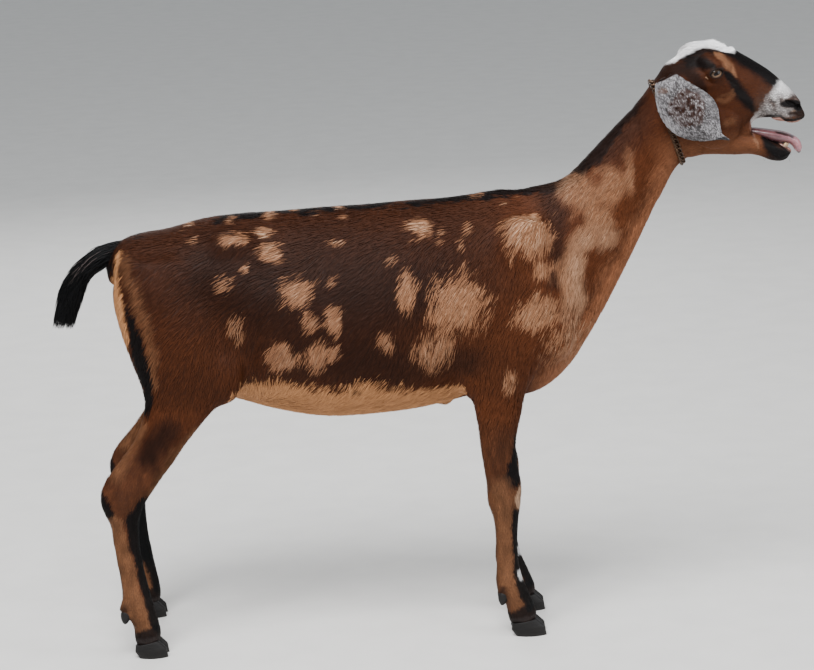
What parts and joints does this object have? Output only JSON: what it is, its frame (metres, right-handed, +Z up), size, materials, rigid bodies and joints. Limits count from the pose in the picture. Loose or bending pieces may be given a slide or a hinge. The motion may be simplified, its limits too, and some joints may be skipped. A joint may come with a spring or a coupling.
{
  "type": "standing mini nubian goat doe with neck chain",
  "caption": "Life-size still doe of a small dairy goat breed, standing square with neck raised, mouth open in a bleat, drooping ears and a close chain collar.",
  "frame": {"origin": "on the floor under the middle of the whole length, tail tip to lip, on the body's middle plane", "axes": "+X from tail to muzzle, +Y to the doe's left, +Z up; the right side faces -Y"},
  "size_m": [1.1784, 0.2612, 0.9178],
  "materials": {
    "coat": "short flat chestnut hair with black bars and cream spots",
    "ear": "short white and grey speckled hair on a thin pendulous ear",
    "tail": "longer black hair in flat overlapping locks",
    "horn": "dark grey hoof horn, worn and slightly ridged",
    "eye": "wet amber eye with a dark horizontal pupil",
    "tongue": "moist mauve-pink tongue, dark at the tip",
    "tooth": "worn tan enamel",
    "chain": "dark bronze curb chain, tarnished"
  },
  "bodies": {
    "root": {"torso": "coat", "neck": "coat", "head": "coat", "lower_jaw": "coat", "leg_fore_right": "coat", "leg_fore_left": "coat", "leg_hind_right": "coat", "leg_hind_left": "coat", "ear_right": "ear", "ear_left": "ear", "eye_right": "eye", "eye_left": "eye", "tail": "tail", "tongue": "tongue", "lower_incisors": "tooth", "collar": "chain", "hoof_fore_right_outer": "horn", "dewclaw_fore_right_outer": "horn", "hoof_fore_right_inner": "horn", "dewclaw_fore_right_inner": "horn", "hoof_fore_left_outer": "horn", "dewclaw_fore_left_outer": "horn", "hoof_fore_left_inner": "horn", "dewclaw_fore_left_inner": "horn", "hoof_hind_right_outer": "horn", "dewclaw_hind_right_outer": "horn", "hoof_hind_right_inner": "horn", "dewclaw_hind_right_inner": "horn", "hoof_hind_left_outer": "horn", "dewclaw_hind_left_outer": "horn", "hoof_hind_left_inner": "horn", "dewclaw_hind_left_inner": "horn"}
  },
  "joints": []
}
